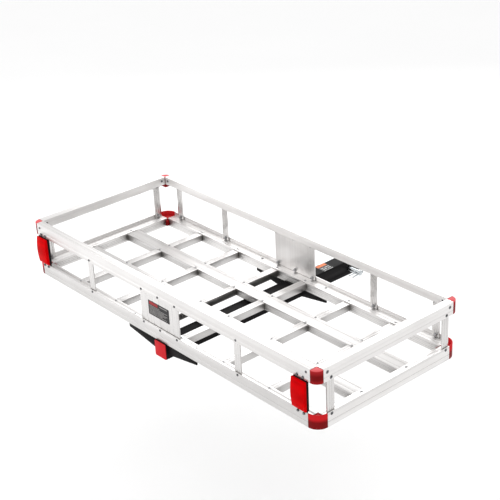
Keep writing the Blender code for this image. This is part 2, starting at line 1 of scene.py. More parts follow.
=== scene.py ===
"""Looks for the hitch cargo carrier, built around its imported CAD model.

Every CAD piece is shown by a copy with rounded edges and a procedural finish. Screws, bolts, nuts,
washers, weld beads, the label and the sticker are added here. Metres, in the frame's own axes:
X across the vehicle, +Y towards it, +Z up.
"""

import json
import math

import bmesh
import bpy
from mathutils import Matrix, Vector

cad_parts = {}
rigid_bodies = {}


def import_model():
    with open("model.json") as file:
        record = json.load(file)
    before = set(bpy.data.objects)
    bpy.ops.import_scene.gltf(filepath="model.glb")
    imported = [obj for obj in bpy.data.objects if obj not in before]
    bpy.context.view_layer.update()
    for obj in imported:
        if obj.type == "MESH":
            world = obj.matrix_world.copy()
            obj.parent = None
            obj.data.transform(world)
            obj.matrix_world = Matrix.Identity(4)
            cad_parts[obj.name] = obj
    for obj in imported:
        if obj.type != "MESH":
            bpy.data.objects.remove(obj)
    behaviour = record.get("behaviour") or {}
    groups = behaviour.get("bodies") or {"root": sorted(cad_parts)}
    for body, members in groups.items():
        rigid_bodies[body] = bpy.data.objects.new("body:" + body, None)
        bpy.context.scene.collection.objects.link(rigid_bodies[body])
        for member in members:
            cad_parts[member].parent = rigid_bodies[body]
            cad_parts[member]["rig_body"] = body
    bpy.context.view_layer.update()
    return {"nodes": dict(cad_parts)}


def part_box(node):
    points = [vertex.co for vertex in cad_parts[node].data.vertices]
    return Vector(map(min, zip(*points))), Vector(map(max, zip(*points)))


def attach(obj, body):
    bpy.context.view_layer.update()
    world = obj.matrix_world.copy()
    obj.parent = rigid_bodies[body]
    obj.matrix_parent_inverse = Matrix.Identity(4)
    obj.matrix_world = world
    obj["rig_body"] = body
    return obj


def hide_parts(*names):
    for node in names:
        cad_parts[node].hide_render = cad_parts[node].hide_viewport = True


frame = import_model()

MM = 0.001
NODES = frame["nodes"]


# ---- places taken from the frame ----------------------------------------------------------
def span(node):
    """The lowest and highest corner of a node, as two vectors."""
    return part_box(node)


def middle(node):
    """The middle of a node's box."""
    low, high = span(node)
    return (low + high) / 2


REAR_FACE = span("lower_rail_rear")[0].y
FRONT_FACE = span("lower_rail_front")[1].y
LEFT_FACE = span("lower_rail_left")[0].x
RIGHT_FACE = span("lower_rail_right")[1].x
BASE = span("lower_rail_rear")[0].z
CENTRE_Y = (REAR_FACE + FRONT_FACE) / 2
BASKET = Vector((0.0, CENTRE_Y, BASE))  # the middle of the basket's underside

# Each side: the turn about Z that takes the rear side to it, and its outer face's distance
SIDES = {
    "rear": (0.0, CENTRE_Y - REAR_FACE),
    "right": (math.pi / 2, RIGHT_FACE),
    "front": (math.pi, FRONT_FACE - CENTRE_Y),
    "left": (-math.pi / 2, -LEFT_FACE),
}


def on_side(side, along, inward, up):
    """Matrix of a place on a side: its Z points out of the basket, its X runs along the side."""
    turn, distance = SIDES[side]
    stand = Matrix.Rotation(math.pi / 2, 4, "X")
    place = Matrix.Translation((along, -distance + inward, up))
    return Matrix.Translation(BASKET) @ Matrix.Rotation(turn, 4, "Z") @ place @ stand


def facing_in(matrix):
    """The same place, facing the other way."""
    return matrix @ Matrix.Rotation(math.pi, 4, "X")


def facing_up(x, y, z):
    """Matrix of a place whose Z points up."""
    return Matrix.Translation((x, y, z))


def along_side(node, side):
    """How far a node's middle is along its side, in that side's own direction."""
    turn, _ = SIDES[side]
    offset = Matrix.Rotation(-turn, 4, "Z") @ (middle(node) - BASKET)
    return offset.x


# ---- materials ----------------------------------------------------------------------------
def new_material(name, settings):
    """A material whose constant settings stand on its shader's own sockets."""
    material = bpy.data.materials.new(name)
    material.use_nodes = True
    shader = material.node_tree.nodes["Principled BSDF"]
    for socket, value in settings.items():
        shader.inputs[socket].default_value = value
    return material, shader


def add(material, kind, **inputs):
    """A new shader node with these input values; underscores stand for spaces."""
    node = material.node_tree.nodes.new(kind)
    for socket, value in inputs.items():
        node.inputs[socket.replace("_", " ")].default_value = value
    return node


def link(material, source, target):
    """Joins one node's output to another's input."""
    material.node_tree.links.new(source, target)


def noise(material, scale, stretch=(1.0, 1.0, 1.0), detail=3.0, roughness=0.5, offset=0.0):
    """Noise in the piece's own metres; a small stretch value draws it out along that axis."""
    place = material.node_tree.nodes.new("ShaderNodeTexCoord")
    mapping = add(material, "ShaderNodeMapping", Scale=stretch, Location=(offset, offset, offset))
    texture = add(material, "ShaderNodeTexNoise", Scale=scale, Detail=detail, Roughness=roughness)
    link(material, place.outputs["Object"], mapping.inputs["Vector"])
    link(material, mapping.outputs["Vector"], texture.inputs["Vector"])
    return texture.outputs["Fac"]


def cells(material, scale):
    """Distance to the nearest cell point of a Voronoi pattern in the piece's own metres."""
    place = material.node_tree.nodes.new("ShaderNodeTexCoord")
    texture = add(material, "ShaderNodeTexVoronoi", Scale=scale)
    link(material, place.outputs["Object"], texture.inputs["Vector"])
    return texture.outputs["Distance"]


def ranged(material, value, low, high, to_low, to_high):
    """Takes value from the range low to high onto the range to_low to to_high."""
    node = material.node_tree.nodes.new("ShaderNodeMapRange")
    for socket, number in zip(("From Min", "From Max", "To Min", "To Max"), (low, high, to_low, to_high)):
        node.inputs[socket].default_value = number
    link(material, value, node.inputs["Value"])
    return node.outputs["Result"]


# A Mix node has sockets for every data type; these are its two colours and their result
FIRST_COLOUR, SECOND_COLOUR, MIXED_COLOUR = 6, 7, 2


def mixed(material, factor, first, second):
    """A colour between two, each a colour or another node's output."""
    node = material.node_tree.nodes.new("ShaderNodeMix")
    node.data_type = "RGBA"
    link(material, factor, node.inputs["Factor"])
    for number, colour in ((FIRST_COLOUR, first), (SECOND_COLOUR, second)):
        if isinstance(colour, tuple):
            node.inputs[number].default_value = (*colour, 1.0)
        else:
            link(material, colour, node.inputs[number])
    return node.outputs[MIXED_COLOUR]


def calculated(material, operation, first, second):
    """A Math node's result; each value is a number or another node's output."""
    node = material.node_tree.nodes.new("ShaderNodeMath")
    node.operation = operation
    for socket, value in zip(node.inputs, (first, second)):
        if isinstance(value, (int, float)):
            socket.default_value = value
        else:
            link(material, value, socket)
    return node.outputs["Value"]


def bump(material, height, distance, strength=1.0, before=None):
    """Relief of a real height in metres; before is another bump that this one adds to."""
    node = add(material, "ShaderNodeBump", Strength=strength, Distance=distance)
    link(material, height, node.inputs["Height"])
    if before is not None:
        link(material, before, node.inputs["Normal"])
    return node.outputs["Normal"]


AXES = ("x", "y", "z")
OCCLUSION_SAMPLES = 6


def occlusion_shade_mask(material, distance, low, high):
    """An ambient-occlusion mask for painted shade: near 0 in grooves and inside corners, near 1 on open
    faces.
    """
    node = add(material, "ShaderNodeAmbientOcclusion", Distance=distance)
    node.samples = OCCLUSION_SAMPLES
    return ranged(material, node.outputs["AO"], low, high, 0.0, 1.0)


def height_above_base(material):
    """Height over the basket's underside, for painted shade and painted light that depend on it."""
    place = material.node_tree.nodes.new("ShaderNodeTexCoord")
    parts = material.node_tree.nodes.new("ShaderNodeSeparateXYZ")
    link(material, place.outputs["Object"], parts.inputs["Vector"])
    return calculated(material, "SUBTRACT", parts.outputs["Z"], BASE)


# Between these heights, just below the slats' tops, the painted shade on the floor's sides ends
FLOOR_SHADE_HEIGHTS = (0.020, 0.0255)

DRAWN_OUT = 0.004  # the noise's scale along an extrusion, against 1 across it
DARK_LINE = (0.76, 0.742, 0.732)
BRIGHT_LINE = (0.85, 0.836, 0.826)
WORN_METAL = (0.66, 0.645, 0.635)
NICKED_METAL = (0.5, 0.5, 0.5)
# Painted shade: the metal's colour in corners low on the floor's sides, and in grooves
PAINTED_SHADE_METAL = (0.24, 0.23, 0.222)
PAINTED_GROOVE_SHADE = (0.42, 0.41, 0.40)


def toned(colour, tone):
    """A colour made duller or brighter."""
    return tuple(channel * tone for channel in colour)


def aluminium(name, axis, tone, satin):
    """Mill-finish extruded aluminium: fine die lines along one axis, faint handling marks, and
    painted shade in grooves and in corners low on the floor's sides.

    A tone below 1 darkens the metal with painted shade and one above 1 brightens it with painted
    light, for a part that lies in shade or in light; satin is what it adds to the roughness.
    """
    material, shader = new_material(name, {"Metallic": 1.0})
    drawn = tuple(DRAWN_OUT if other == axis else 1.0 for other in AXES)
    fine = noise(material, 1400.0, drawn, detail=4.0, roughness=0.6)
    broad = noise(material, 130.0, drawn, detail=3.0, offset=3.7)
    smudge = noise(material, 9.0, detail=4.0, offset=1.3)
    wave = noise(material, 12.0, tuple(max(share, 0.3) for share in drawn), detail=1.0, offset=6.3)
    nicks = noise(material, 420.0, detail=2.0, offset=8.1)
    lines = ranged(material, broad, 0.3, 0.7, 0.0, 1.0)
    colour = mixed(material, lines, toned(DARK_LINE, tone), toned(BRIGHT_LINE, tone))
    wear = ranged(material, smudge, 0.45, 0.8, 0.0, 0.3)
    colour = mixed(material, wear, colour, toned(WORN_METAL, tone))
    colour = mixed(material, ranged(material, nicks, 0.70, 0.76, 0.0, 0.5), colour, NICKED_METAL)
    # Painted shade by ambient occlusion: darker in corners low on the floor's sides, and in grooves
    above_floor_shade = ranged(material, height_above_base(material), *FLOOR_SHADE_HEIGHTS, 0.0, 1.0)
    unshaded_share = calculated(material, "MAXIMUM", occlusion_shade_mask(material, 0.09, 0.45, 0.95), above_floor_shade)
    colour = mixed(material, unshaded_share, toned(PAINTED_SHADE_METAL, tone), colour)
    groove_unshaded_share = occlusion_shade_mask(material, 0.003, 0.35, 0.85)
    colour = mixed(material, groove_unshaded_share, toned(PAINTED_GROOVE_SHADE, tone), colour)
    link(material, colour, shader.inputs["Base Color"])
    gloss = ranged(material, fine, 0.3, 0.7, 0.20 + satin, 0.31 + satin)
    gloss = calculated(material, "ADD", gloss, ranged(material, smudge, 0.4, 0.8, 0.0, 0.08))
    link(material, gloss, shader.inputs["Roughness"])
    relief = bump(material, wave, 0.0003, 0.3)
    relief = bump(material, broad, 0.00012, 0.6, relief)
    relief = bump(material, fine, 0.00002, 0.7, relief)
    link(material, relief, shader.inputs["Normal"])
    return material


# How far the roughness goes below and above a finish's own value
GLOSSIER = 0.05
DULLER = 0.09


def moulded(name, dark, light, gloss, grain, settings, thin=()):
    """Moulded plastic: a fine grain, slow colour change across the piece, and rubbed spots.

    Each thin part is a band of painted light (start, end, colour): from one height to the other,
    the colour moves to that one. The upper caps' bands are painted reflections and a painted
    highlight; the lower caps' band is painted light shining through the thin upper wall.
    """
    material, shader = new_material(name, settings)
    slow = noise(material, 28.0, detail=3.0)
    pebble = cells(material, grain)
    rub = noise(material, 240.0, detail=5.0, roughness=0.7, offset=5.0)
    colour = mixed(material, ranged(material, slow, 0.3, 0.7, 0.0, 1.0), dark, light)
    paler = tuple(min(1.0, channel * 1.35 + 0.006) for channel in light)
    colour = mixed(material, ranged(material, rub, 0.62, 0.78, 0.0, 0.45), colour, paler)
    # Painted light in bands by height
    for start, end, painted_band_light in thin:
        share = ranged(material, height_above_base(material), start, end, 0.0, 1.0)
        colour = mixed(material, share, colour, painted_band_light)
    link(material, colour, shader.inputs["Base Color"])
    roughness = ranged(material, rub, 0.3, 0.7, gloss - GLOSSIER, gloss + DULLER)
    link(material, roughness, shader.inputs["Roughness"])
    relief = bump(material, pebble, 0.00006, 0.5)
    relief = bump(material, slow, 0.0004, 0.25, relief)
    link(material, relief, shader.inputs["Normal"])
    return material


COAT_BLACK = (0.0060, 0.0054, 0.0058)
COAT_HANDLED = (0.0115, 0.0100, 0.0108)
DUST = (0.10, 0.095, 0.09)


def powder_coat(name):
    """Black powder coat: orange peel, a few dust specks, and slightly duller handled areas."""
    material, shader = new_material(name, {"Specular IOR Level": 0.05})
    peel = noise(material, 650.0, detail=2.0)
    slow = noise(material, 16.0, detail=4.0, offset=2.0)
    dust = noise(material, 900.0, detail=2.0, offset=6.0)
    handled = ranged(material, slow, 0.3, 0.75, 0.0, 1.0)
    colour = mixed(material, handled, COAT_BLACK, COAT_HANDLED)
    colour = mixed(material, ranged(material, dust, 0.72, 0.8, 0.0, 0.5), colour, DUST)
    link(material, colour, shader.inputs["Base Color"])
    link(material, ranged(material, slow, 0.3, 0.7, 0.36, 0.52), shader.inputs["Roughness"])
    link(material, bump(material, peel, 0.00012, 0.5), shader.inputs["Normal"])
    return material


def reflector_red(name):
    """Retro-reflector: cube-corner cells seen as a fine lattice under a clear, glossy face."""
    settings = {"Specular IOR Level": 0.01, "Coat Weight": 0.01, "Coat Roughness": 0.06}
    material, shader = new_material(name, settings)
    place = material.node_tree.nodes.new("ShaderNodeTexCoord")
    lattice = add(material, "ShaderNodeTexVoronoi", Scale=420.0, Randomness=0.0)
    link(material, place.outputs["Object"], lattice.inputs["Vector"])
    slow = noise(material, 35.0, detail=2.0)
    cell = ranged(material, lattice.outputs["Distance"], 0.15, 0.75, 0.0, 1.0)
    colour = mixed(material, cell, (0.70, 0.0, 0.002), (0.42, 0.0, 0.001))
    colour = mixed(material, ranged(material, slow, 0.35, 0.7, 0.0, 0.35), colour, (0.78, 0.002, 0.003))
    link(material, colour, shader.inputs["Base Color"])
    link(material, ranged(material, cell, 0.0, 1.0, 0.12, 0.26), shader.inputs["Roughness"])
    relief = bump(material, lattice.outputs["Distance"], 0.0006, 0.35)
    link(material, relief, shader.inputs["Normal"])
    return material


def bright_steel(name, dark, light, gloss):
    """Zinc-plated steel: patchy crystals and small pits."""
    material, shader = new_material(name, {"Metallic": 1.0})
    patch = noise(material, 90.0, detail=4.0)
    pits = noise(material, 1500.0, detail=2.0, offset=4.0)
    colour = mixed(material, ranged(material, patch, 0.35, 0.65, 0.0, 1.0), dark, light)
    link(material, colour, shader.inputs["Base Color"])
    roughness = ranged(material, patch, 0.3, 0.7, gloss - GLOSSIER, gloss + DULLER)
    link(material, roughness, shader.inputs["Roughness"])
    link(material, bump(material, pits, 0.00004, 0.5), shader.inputs["Normal"])
    return material


def printed(name, colour, darker):
    """Printed vinyl: one ink, with a faint press texture."""
    settings = {"Specular IOR Level": 0.2, "Coat Weight": 0.05, "Coat Roughness": 0.2}
    material, shader = new_material(name, settings)
    press = noise(material, 1100.0, detail=2.0)
    fade = noise(material, 60.0, detail=3.0)
    ink = mixed(material, ranged(material, fade, 0.3, 0.7, 0.0, 1.0), colour, darker)
    link(material, ink, shader.inputs["Base Color"])
    link(material, ranged(material, press, 0.3, 0.7, 0.3, 0.42), shader.inputs["Roughness"])
    link(material, bump(material, press, 0.00002, 0.4), shader.inputs["Normal"])
    return material


# Lit and shaded copies of one aluminium: each tone's brightness is painted light (above 1) or painted
# shade (below 1), and its second value is what it adds to the roughness
LIT_AND_SHADED_TONES = {
    "pale": (1.12, 0.22),
    "bright": (1.0, 0.10),
    "plain": (0.95, 0.12),
    "satin": (0.98, 0.16),
    "soft": (0.86, 0.0),
    "dull": (0.82, 0.12),
}
ALUMINIUM = {
    (tone, axis): aluminium(f"aluminium_{tone}_{axis}", axis, *look)
    for tone, look in LIT_AND_SHADED_TONES.items()
    for axis in AXES
}
CAP_DARK = (0.17, 0.004, 0.005)
CAP_LIGHT = (0.21, 0.006, 0.007)
CAP_GLOSS = 0.30
CAP_GRAIN = 900.0
CAP_SETTINGS = {"Specular IOR Level": 0.04, "Coat Weight": 0.02, "Coat Roughness": 0.15}
# Upper caps: painted reflections, lighter at the lower edge and up the side towards the top, and a pale
# pink painted highlight on the top face
UPPER_CAP_RED = moulded(
    "cap_plastic_upper", CAP_DARK, CAP_LIGHT, CAP_GLOSS, CAP_GRAIN, CAP_SETTINGS,
    [
        (0.142, 0.1325, (0.34, 0.012, 0.014)),
        (0.152, 0.1655, (0.40, 0.018, 0.022)),
        (0.1660, 0.1678, (0.72, 0.115, 0.125)),
    ],
)
# Lower caps: painted light, brighter up the thin upper wall as if light shone through it
LOWER_CAP_RED = moulded(
    "cap_plastic_lower", CAP_DARK, CAP_LIGHT, CAP_GLOSS, CAP_GRAIN, CAP_SETTINGS,
    [(0.019, 0.028, (0.58, 0.014, 0.018))],
)
PLUG_RED = moulded(
    "plug_plastic", (0.54, 0.012, 0.018), (0.62, 0.018, 0.024), 0.44, 700.0,
    {"Specular IOR Level": 0.08},
)
HOUSING_BLACK = moulded(
    "housing_plastic", (0.006, 0.006, 0.007), (0.011, 0.011, 0.012), 0.46, 800.0,
    {"Specular IOR Level": 0.06},
)
LENS_RED = reflector_red("lens_plastic")
BLACK_STEEL = powder_coat("black_steel")
PLATED = bright_steel("plated_steel", (0.42, 0.45, 0.47), (0.62, 0.65, 0.67), 0.22)
# Dark steel; its very dark base colour is also a painted reflection, standing in for dark surroundings
# mirrored in the shiny heads
BOLT_STEEL = bright_steel("bolt_steel", (0.12, 0.12, 0.125), (0.24, 0.24, 0.25), 0.22)
NUT_STEEL = bright_steel("nut_steel", (0.34, 0.34, 0.345), (0.52, 0.52, 0.53), 0.24)
LABEL_BLACK = printed("label_black", (0.014, 0.013, 0.014), (0.020, 0.019, 0.020))
LABEL_RED = printed("label_red", (0.34, 0.012, 0.016), (0.28, 0.010, 0.014))
LABEL_GREY = printed("label_grey", (0.30, 0.29, 0.28), (0.20, 0.19, 0.19))
STICKER_ORANGE = printed("sticker_orange", (0.75, 0.17, 0.02), (0.68, 0.14, 0.02))
STICKER_WHITE = printed("sticker_white", (0.82, 0.82, 0.80), (0.76, 0.76, 0.74))


# ---- the CAD pieces, with rounded edges ---------------------------------------------------
EDGE_ROUNDING = 0.35 * MM
EDGE_SEGMENTS = 2
SAME_POINT = 0.004 * MM
COPLANAR = math.radians(0.5)
SMOOTH_BELOW = math.radians(32)


def made(name, shape, finish=None):
    """A new object in the scene from a bmesh, which it frees."""
    mesh = bpy.data.meshes.new(name)
    shape.to_mesh(mesh)
    shape.free()
    if finish is not None:
        mesh.materials.append(finish)
    piece = bpy.data.objects.new(name, mesh)
    bpy.context.scene.collection.objects.link(piece)
    return piece


def closed_over(shape, outlines):
    """Adds to a bmesh the closed form over these outlines, each with as many points.

    The points go counterclockwise, seen from the last outline, so the faces point outwards.
    """
    rows = [[shape.verts.new(point) for point in outline] for outline in outlines]
    shape.faces.new(list(reversed(rows[0])))
    for below, above in zip(rows, rows[1:]):
        for step in range(len(below)):
            after = (step + 1) % len(below)
            shape.faces.new((below[step], below[after], above[after], above[step]))
    shape.faces.new(rows[-1])


def refined(node, finish, cutters=()):
    """Shows a node by a copy of its own shape, welded, with rounded edges and a finish."""
    shape = bmesh.new()
    shape.from_mesh(NODES[node].data)
    bmesh.ops.remove_doubles(shape, verts=shape.verts, dist=SAME_POINT)
    bmesh.ops.dissolve_limit(shape, angle_limit=COPLANAR, verts=shape.verts, edges=shape.edges)
    piece = made(node + "_skin", shape, finish)
    for cutter in cutters:
        hole = piece.modifiers.new("hole", "BOOLEAN")
        hole.operation = "DIFFERENCE"
        hole.object = cutter
    bevel = piece.modifiers.new("edges", "BEVEL")
    bevel.width = EDGE_ROUNDING
    bevel.segments = EDGE_SEGMENTS
    bevel.limit_method = "ANGLE"
    bevel.angle_limit = SMOOTH_BELOW
    applied(piece)
    for cutter in cutters:
        bpy.data.objects.remove(cutter, do_unlink=True)
    smoothed(piece)
    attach(piece, NODES[node]["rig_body"])
    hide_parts(node)


def applied(piece):
    """Makes a piece's modifiers part of its mesh."""
    bpy.context.view_layer.update()
    graph = bpy.context.evaluated_depsgraph_get()
    mesh = bpy.data.meshes.new_from_object(piece.evaluated_get(graph), depsgraph=graph)
    piece.modifiers.clear()
    piece.data = mesh


def smoothed(piece):
    """Smooth shading, with sharp edges where faces meet at more than SMOOTH_BELOW."""
    piece.data.shade_smooth()
    piece.data.set_sharp_from_angle(angle=SMOOTH_BELOW)


# Painted light and shade: each rail's tone, by how light falls on it; the other rails take the bright
# tone
RAIL_LIT_AND_SHADED_TONES = {
    "upper_rail_front": "pale",
    "upper_rail_left": "satin",
    "lower_rail_left": "satin",
    "lower_rail_front": "satin",
    "upper_rail_rear": "plain",
    "lower_rail_rear": "dull",
}


def finish_of(node):
    """The finish for a node, by its name; an extrusion's die lines run along it."""
    if "cap" in node:
        return UPPER_CAP_RED if "upper" in node else LOWER_CAP_RED
    if "lens" in node:
        return LENS_RED
    if "housing" in node:
        return HOUSING_BLACK
    if "plug" in node:
        return PLUG_RED
    if "shank" in node:
        return BLACK_STEEL
    if node.startswith("hitch_pin"):
        return PLATED
    # Posts and centre plates take darker tones: painted shade
    if node.startswith(("post", "centre_plate")):
        return ALUMINIUM["satin" if node == "centre_plate_front" else "soft", "z"]
    size = span(node)[1] - span(node)[0]
    # Slats take the dull tone: painted shade
    tone = RAIL_LIT_AND_SHADED_TONES.get(node, "dull" if "slat" in node else "bright")
    return ALUMINIUM[tone, "x" if size.x > size.y else "y"]


# ---- turned fasteners ---------------------------------------------------------------------
AROUND = 24


def ring(radius, height, hexagonal=False):
    """Points at one height round Z, on a circle or on the hexagon that holds that circle."""
    points = []
    for step in range(AROUND):
        angle = 2 * math.pi * step / AROUND
        reach = radius
        if hexagonal:
            reach = radius / math.cos((angle + math.pi / 6) % (math.pi / 3) - math.pi / 6)
        points.append((reach * math.cos(angle) * MM, reach * math.sin(angle) * MM, height * MM))
    return points


def turned(shape, rings, place):
    """Adds a closed turned form to a bmesh, from its lowest ring to its last."""
    closed_over(shape, [[place @ Vector(point) for point in row] for row in rings])


def fasteners(name, rings, places, finish, body="carrier"):
    """One piece that holds the same fastener at each place."""
    shape = bmesh.new()
    for place in places:
        turned(shape, rings, place)
    piece = made(name, shape, finish)
    smoothed(piece)
    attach(piece, body)


# Profiles in millimetres, from the face that they sit on. A hexagon's radius is half its flats.
SOCKET = [ring(1.45, 0.9, True), ring(1.3, -0.1, True)]
BUTTON_HEAD = [
    ring(3.6, -0.2), ring(3.65, 0.25), ring(3.45, 0.7), ring(2.95, 1.15),
    ring(2.2, 1.45), ring(1.6, 1.5), *SOCKET,
]
WASHER = [ring(5.0, -0.1), ring(5.1, 0.2), ring(5.1, 0.8), ring(4.9, 1.0)]
THREAD = [ring(2.45 - 0.25 * (turn % 2), 4.9 + 0.4 * turn) for turn in range(7)]
NUT = [
    *WASHER, ring(3.9, 1.05), ring(3.95, 1.15, True), ring(3.95, 4.3, True),
    ring(3.75, 4.7), ring(2.6, 4.7), *THREAD,
]
FLAT_HEAD = [
    ring(2.6, -2.4), ring(4.7, -0.35), ring(4.7, -0.08), ring(4.5, 0.0),
    ring(2.0, 0.0), ring(1.85, -0.1, True), ring(1.8, -1.6, True),
]
SMALL_HEX_HEAD = [
    ring(4.0, -0.1), ring(4.1, 0.4), ring(3.9, 0.7), ring(3.1, 0.75), ring(3.15, 0.85, True),
    ring(3.15, 2.6, True), ring(2.9, 3.0), ring(2.1, 3.1), ring(1.9, 2.9),
]
SMALL_NUT = [
    ring(3.9, -0.1), ring(3.9, 0.5), ring(3.45, 0.6, True), ring(3.45, 3.2, True),
    ring(3.2, 3.6), ring(1.9, 3.6), ring(1.9, 4.6), ring(1.5, 4.9),
]
COUNTERSINK = [ring(2.7, -2.5), ring(4.85, -0.35), ring(4.85, 0.6)]

# Heights are over the basket's underside; insets are from a frame's outer face
LIP_BOLT_HEIGHT = 34.6 * MM
SKIRT_BOLT_HEIGHT = 137.5 * MM
UPRIGHT_BACK = 6.5 * MM
LEDGE_TOP = BASE + 28.0 * MM
LEDGE_INSET = 24.2 * MM
BRACKET_BOLT_INSET = 14.6 * MM
BRACKET_THICKNESS = 4.0 * MM
SLAT_SCREW_OFFSET = 18.8 * MM
PLATE_BOLT_OFFSETS = (-74.5 * MM, 0.0, 74.5 * MM)
BRACKET_BOLT_OFFSET = 138.8 * MM
CORNER_SCREW_HEIGHT = 157.0 * MM
LONG_SIDE_REACH = 586.0 * MM
END_REACH = 221.0 * MM
CORNER_SCREW_OFFSETS = {
    "rear": LONG_SIDE_REACH, "front": LONG_SIDE_REACH, "right": END_REACH, "left": END_REACH,
}
UPPER_RAIL_WIDTH = 22.5 * MM
REFLECTOR_BOLTS = 10.5 * MM

POSTS = {
    "rear": ("post_rear_left", "post_rear_right"),
    "front": ("post_front_1", "post_front_2", "post_front_3", "post_front_4"),
    "left": ("post_left_rear", "post_left_front"),
    "right": ("post_right_rear", "post_right_front"),
}
BOLT_HEIGHTS = (LIP_BOLT_HEIGHT, SKIRT_BOLT_HEIGHT)
CROSS_SLAT_ROWS = 6


def upright_places(side):
    """How far along its side each upright bolt is."""
    places = [along_side(post, side) for post in POSTS[side]]
    if side in ("rear", "front"):
        places += PLATE_BOLT_OFFSETS
    return places


def place_upright_bolts():
    heads, nuts = [], []
    for side in SIDES:
        for along in upright_places(side):
            for height in BOLT_HEIGHTS:
                nuts.append(facing_in(on_side(side, along, UPRIGHT_BACK, height)))
                if side in ("rear", "front"):
                    heads.append(on_side(side, along, 0.0, height))
    fasteners("upright_bolts", BUTTON_HEAD, heads, BOLT_STEEL)
    fasteners("upright_nuts", NUT, nuts, NUT_STEEL)


def end_screw_places(side, upper):
    """Flush screws on an end's outer face: the uprights' and, on the upper rail, the caps'."""
    height = SKIRT_BOLT_HEIGHT if upper else LIP_BOLT_HEIGHT
    places = [on_side(side, along, 0.0, height) for along in upright_places(side)]
    if upper:
        reach = CORNER_SCREW_OFFSETS[side]
        places += [on_side(side, along, 0.0, CORNER_SCREW_HEIGHT) for along in (-reach, reach)]
    return places


def countersink(place):
    """A cutter for one flush screw."""
    shape = bmesh.new()
    turned(shape, COUNTERSINK, place)
    return made("countersink", shape)


def place_end_screws():
    places = []
    for side in ("left", "right"):
        for upper in (False, True):
            places += end_screw_places(side, upper)
    fasteners("end_screws", FLAT_HEAD, places, BOLT_STEEL)


def place_floor_screws():
    slat_screws, ledge_screws = [], []
    long_slats = ("long_slat_front", "long_slat_rear")
    for number in range(1, CROSS_SLAT_ROWS + 1):
        x = middle(f"cross_slat_{number}_middle").x
        for name in long_slats:
            y, top = middle(name).y, span(name)[1].z
            slat_screws.append(facing_up(x, y - SLAT_SCREW_OFFSET, top))
            slat_screws.append(facing_up(x, y + SLAT_SCREW_OFFSET, top))
        ledge_screws.append(facing_up(x, REAR_FACE + LEDGE_INSET, LEDGE_TOP))
        ledge_screws.append(facing_up(x, FRONT_FACE - LEDGE_INSET, LEDGE_TOP))
    for name in long_slats:
        y = middle(name).y
        ledge_screws.append(facing_up(LEFT_FACE + LEDGE_INSET, y, LEDGE_TOP))
        ledge_screws.append(facing_up(RIGHT_FACE - LEDGE_INSET, y, LEDGE_TOP))
    fasteners("slat_screws", BUTTON_HEAD, slat_screws, NUT_STEEL)
    fasteners("ledge_screws", BUTTON_HEAD, ledge_screws, NUT_STEEL)


def place_bracket_bolts():
    """The bolts through the ledges into the shank's brackets, and the nuts below them."""
    bolts, nuts = [], []
    rows = {"rear": REAR_FACE + BRACKET_BOLT_INSET, "front": FRONT_FACE - BRACKET_BOLT_INSET}
    for side, x in (("left", -BRACKET_BOLT_OFFSET), ("right", BRACKET_BOLT_OFFSET)):
        for row, y in rows.items():
            bolts.append(facing_up(x, y, LEDGE_TOP))
            under = span(f"shank_bracket_{row}_{side}")[1].z - BRACKET_THICKNESS
            nuts.append(facing_in(facing_up(x, y, under)))
    fasteners("bracket_bolts", SMALL_HEX_HEAD, bolts, NUT_STEEL)
    fasteners("bracket_nuts", SMALL_NUT, nuts, NUT_STEEL)


def place_reflector_bolts():
    heads = []
    for side in ("left", "right"):
        along = along_side("reflector_housing_" + side, "rear")
        for height in BOLT_HEIGHTS:
            for offset in (-REFLECTOR_BOLTS, REFLECTOR_BOLTS):
                heads.append(on_side("rear", along + offset, 0.0, height))
    fasteners("reflector_bolts", SMALL_HEX_HEAD, heads, BOLT_STEEL)


def place_corner_screws():
    outer, inner = [], []
    for side in SIDES:
        reach = CORNER_SCREW_OFFSETS[side]
        for along in (-reach, reach):
            if side in ("rear", "front"):
                outer.append(on_side(side, along, 0.0, CORNER_SCREW_HEIGHT))
            inner.append(facing_in(on_side(side, along, UPPER_RAIL_WIDTH, CORNER_SCREW_HEIGHT)))
    fasteners("corner_screws_outer", BUTTON_HEAD, outer, BOLT_STEEL)
    fasteners("corner_screws_inner", BUTTON_HEAD, inner, BOLT_STEEL)


# ---- weld beads ---------------------------------------------------------------------------
BEAD_RADIUS = 2.6 * MM
RIPPLE_PITCH = 1.8 * MM
RIPPLE_DEPTH = 0.14  # as a share of the radius
STEPS_PER_RIPPLE = 4
BEAD_AROUND = 12
WELD_BOTTOM = 1.5 * MM  # how far above the bracket's lower edge a bead starts
WELD_TOP = 5.0 * MM  # how far below its upper edge it ends


def weld_bead(name, start, end):
    """A rippled bead between two points."""
    start, end = Vector(start), Vector(end)
    along = (end - start).normalized()
    across = along.orthogonal().normalized()
    other = along.cross(across)
    length = (end - start).length
    steps = int(STEPS_PER_RIPPLE * length / RIPPLE_PITCH)
    outlines = []
    for step in range(steps + 1):
        share = step / steps
        ripple = abs(math.sin(math.pi * share * length / RIPPLE_PITCH))
        from_end = min(share, 1 - share) * length
        taper = min(1.0, math.sqrt(max(0.04, from_end / (2 * BEAD_RADIUS))))
        radius = BEAD_RADIUS * taper * (1 - RIPPLE_DEPTH + RIPPLE_DEPTH * ripple)
        centre = start + along * (share * length)
        outline = []
        for turn in range(BEAD_AROUND):
            angle = 2 * math.pi * turn / BEAD_AROUND
            spoke = across * (radius * math.cos(angle)) + other * (radius * math.sin(angle))
            outline.append(centre + spoke)
        outlines.append(outline)
    shape = bmesh.new()
    closed_over(shape, outlines)
    piece = made(name, shape, BLACK_STEEL)
    smoothed(piece)
    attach(piece, "carrier")


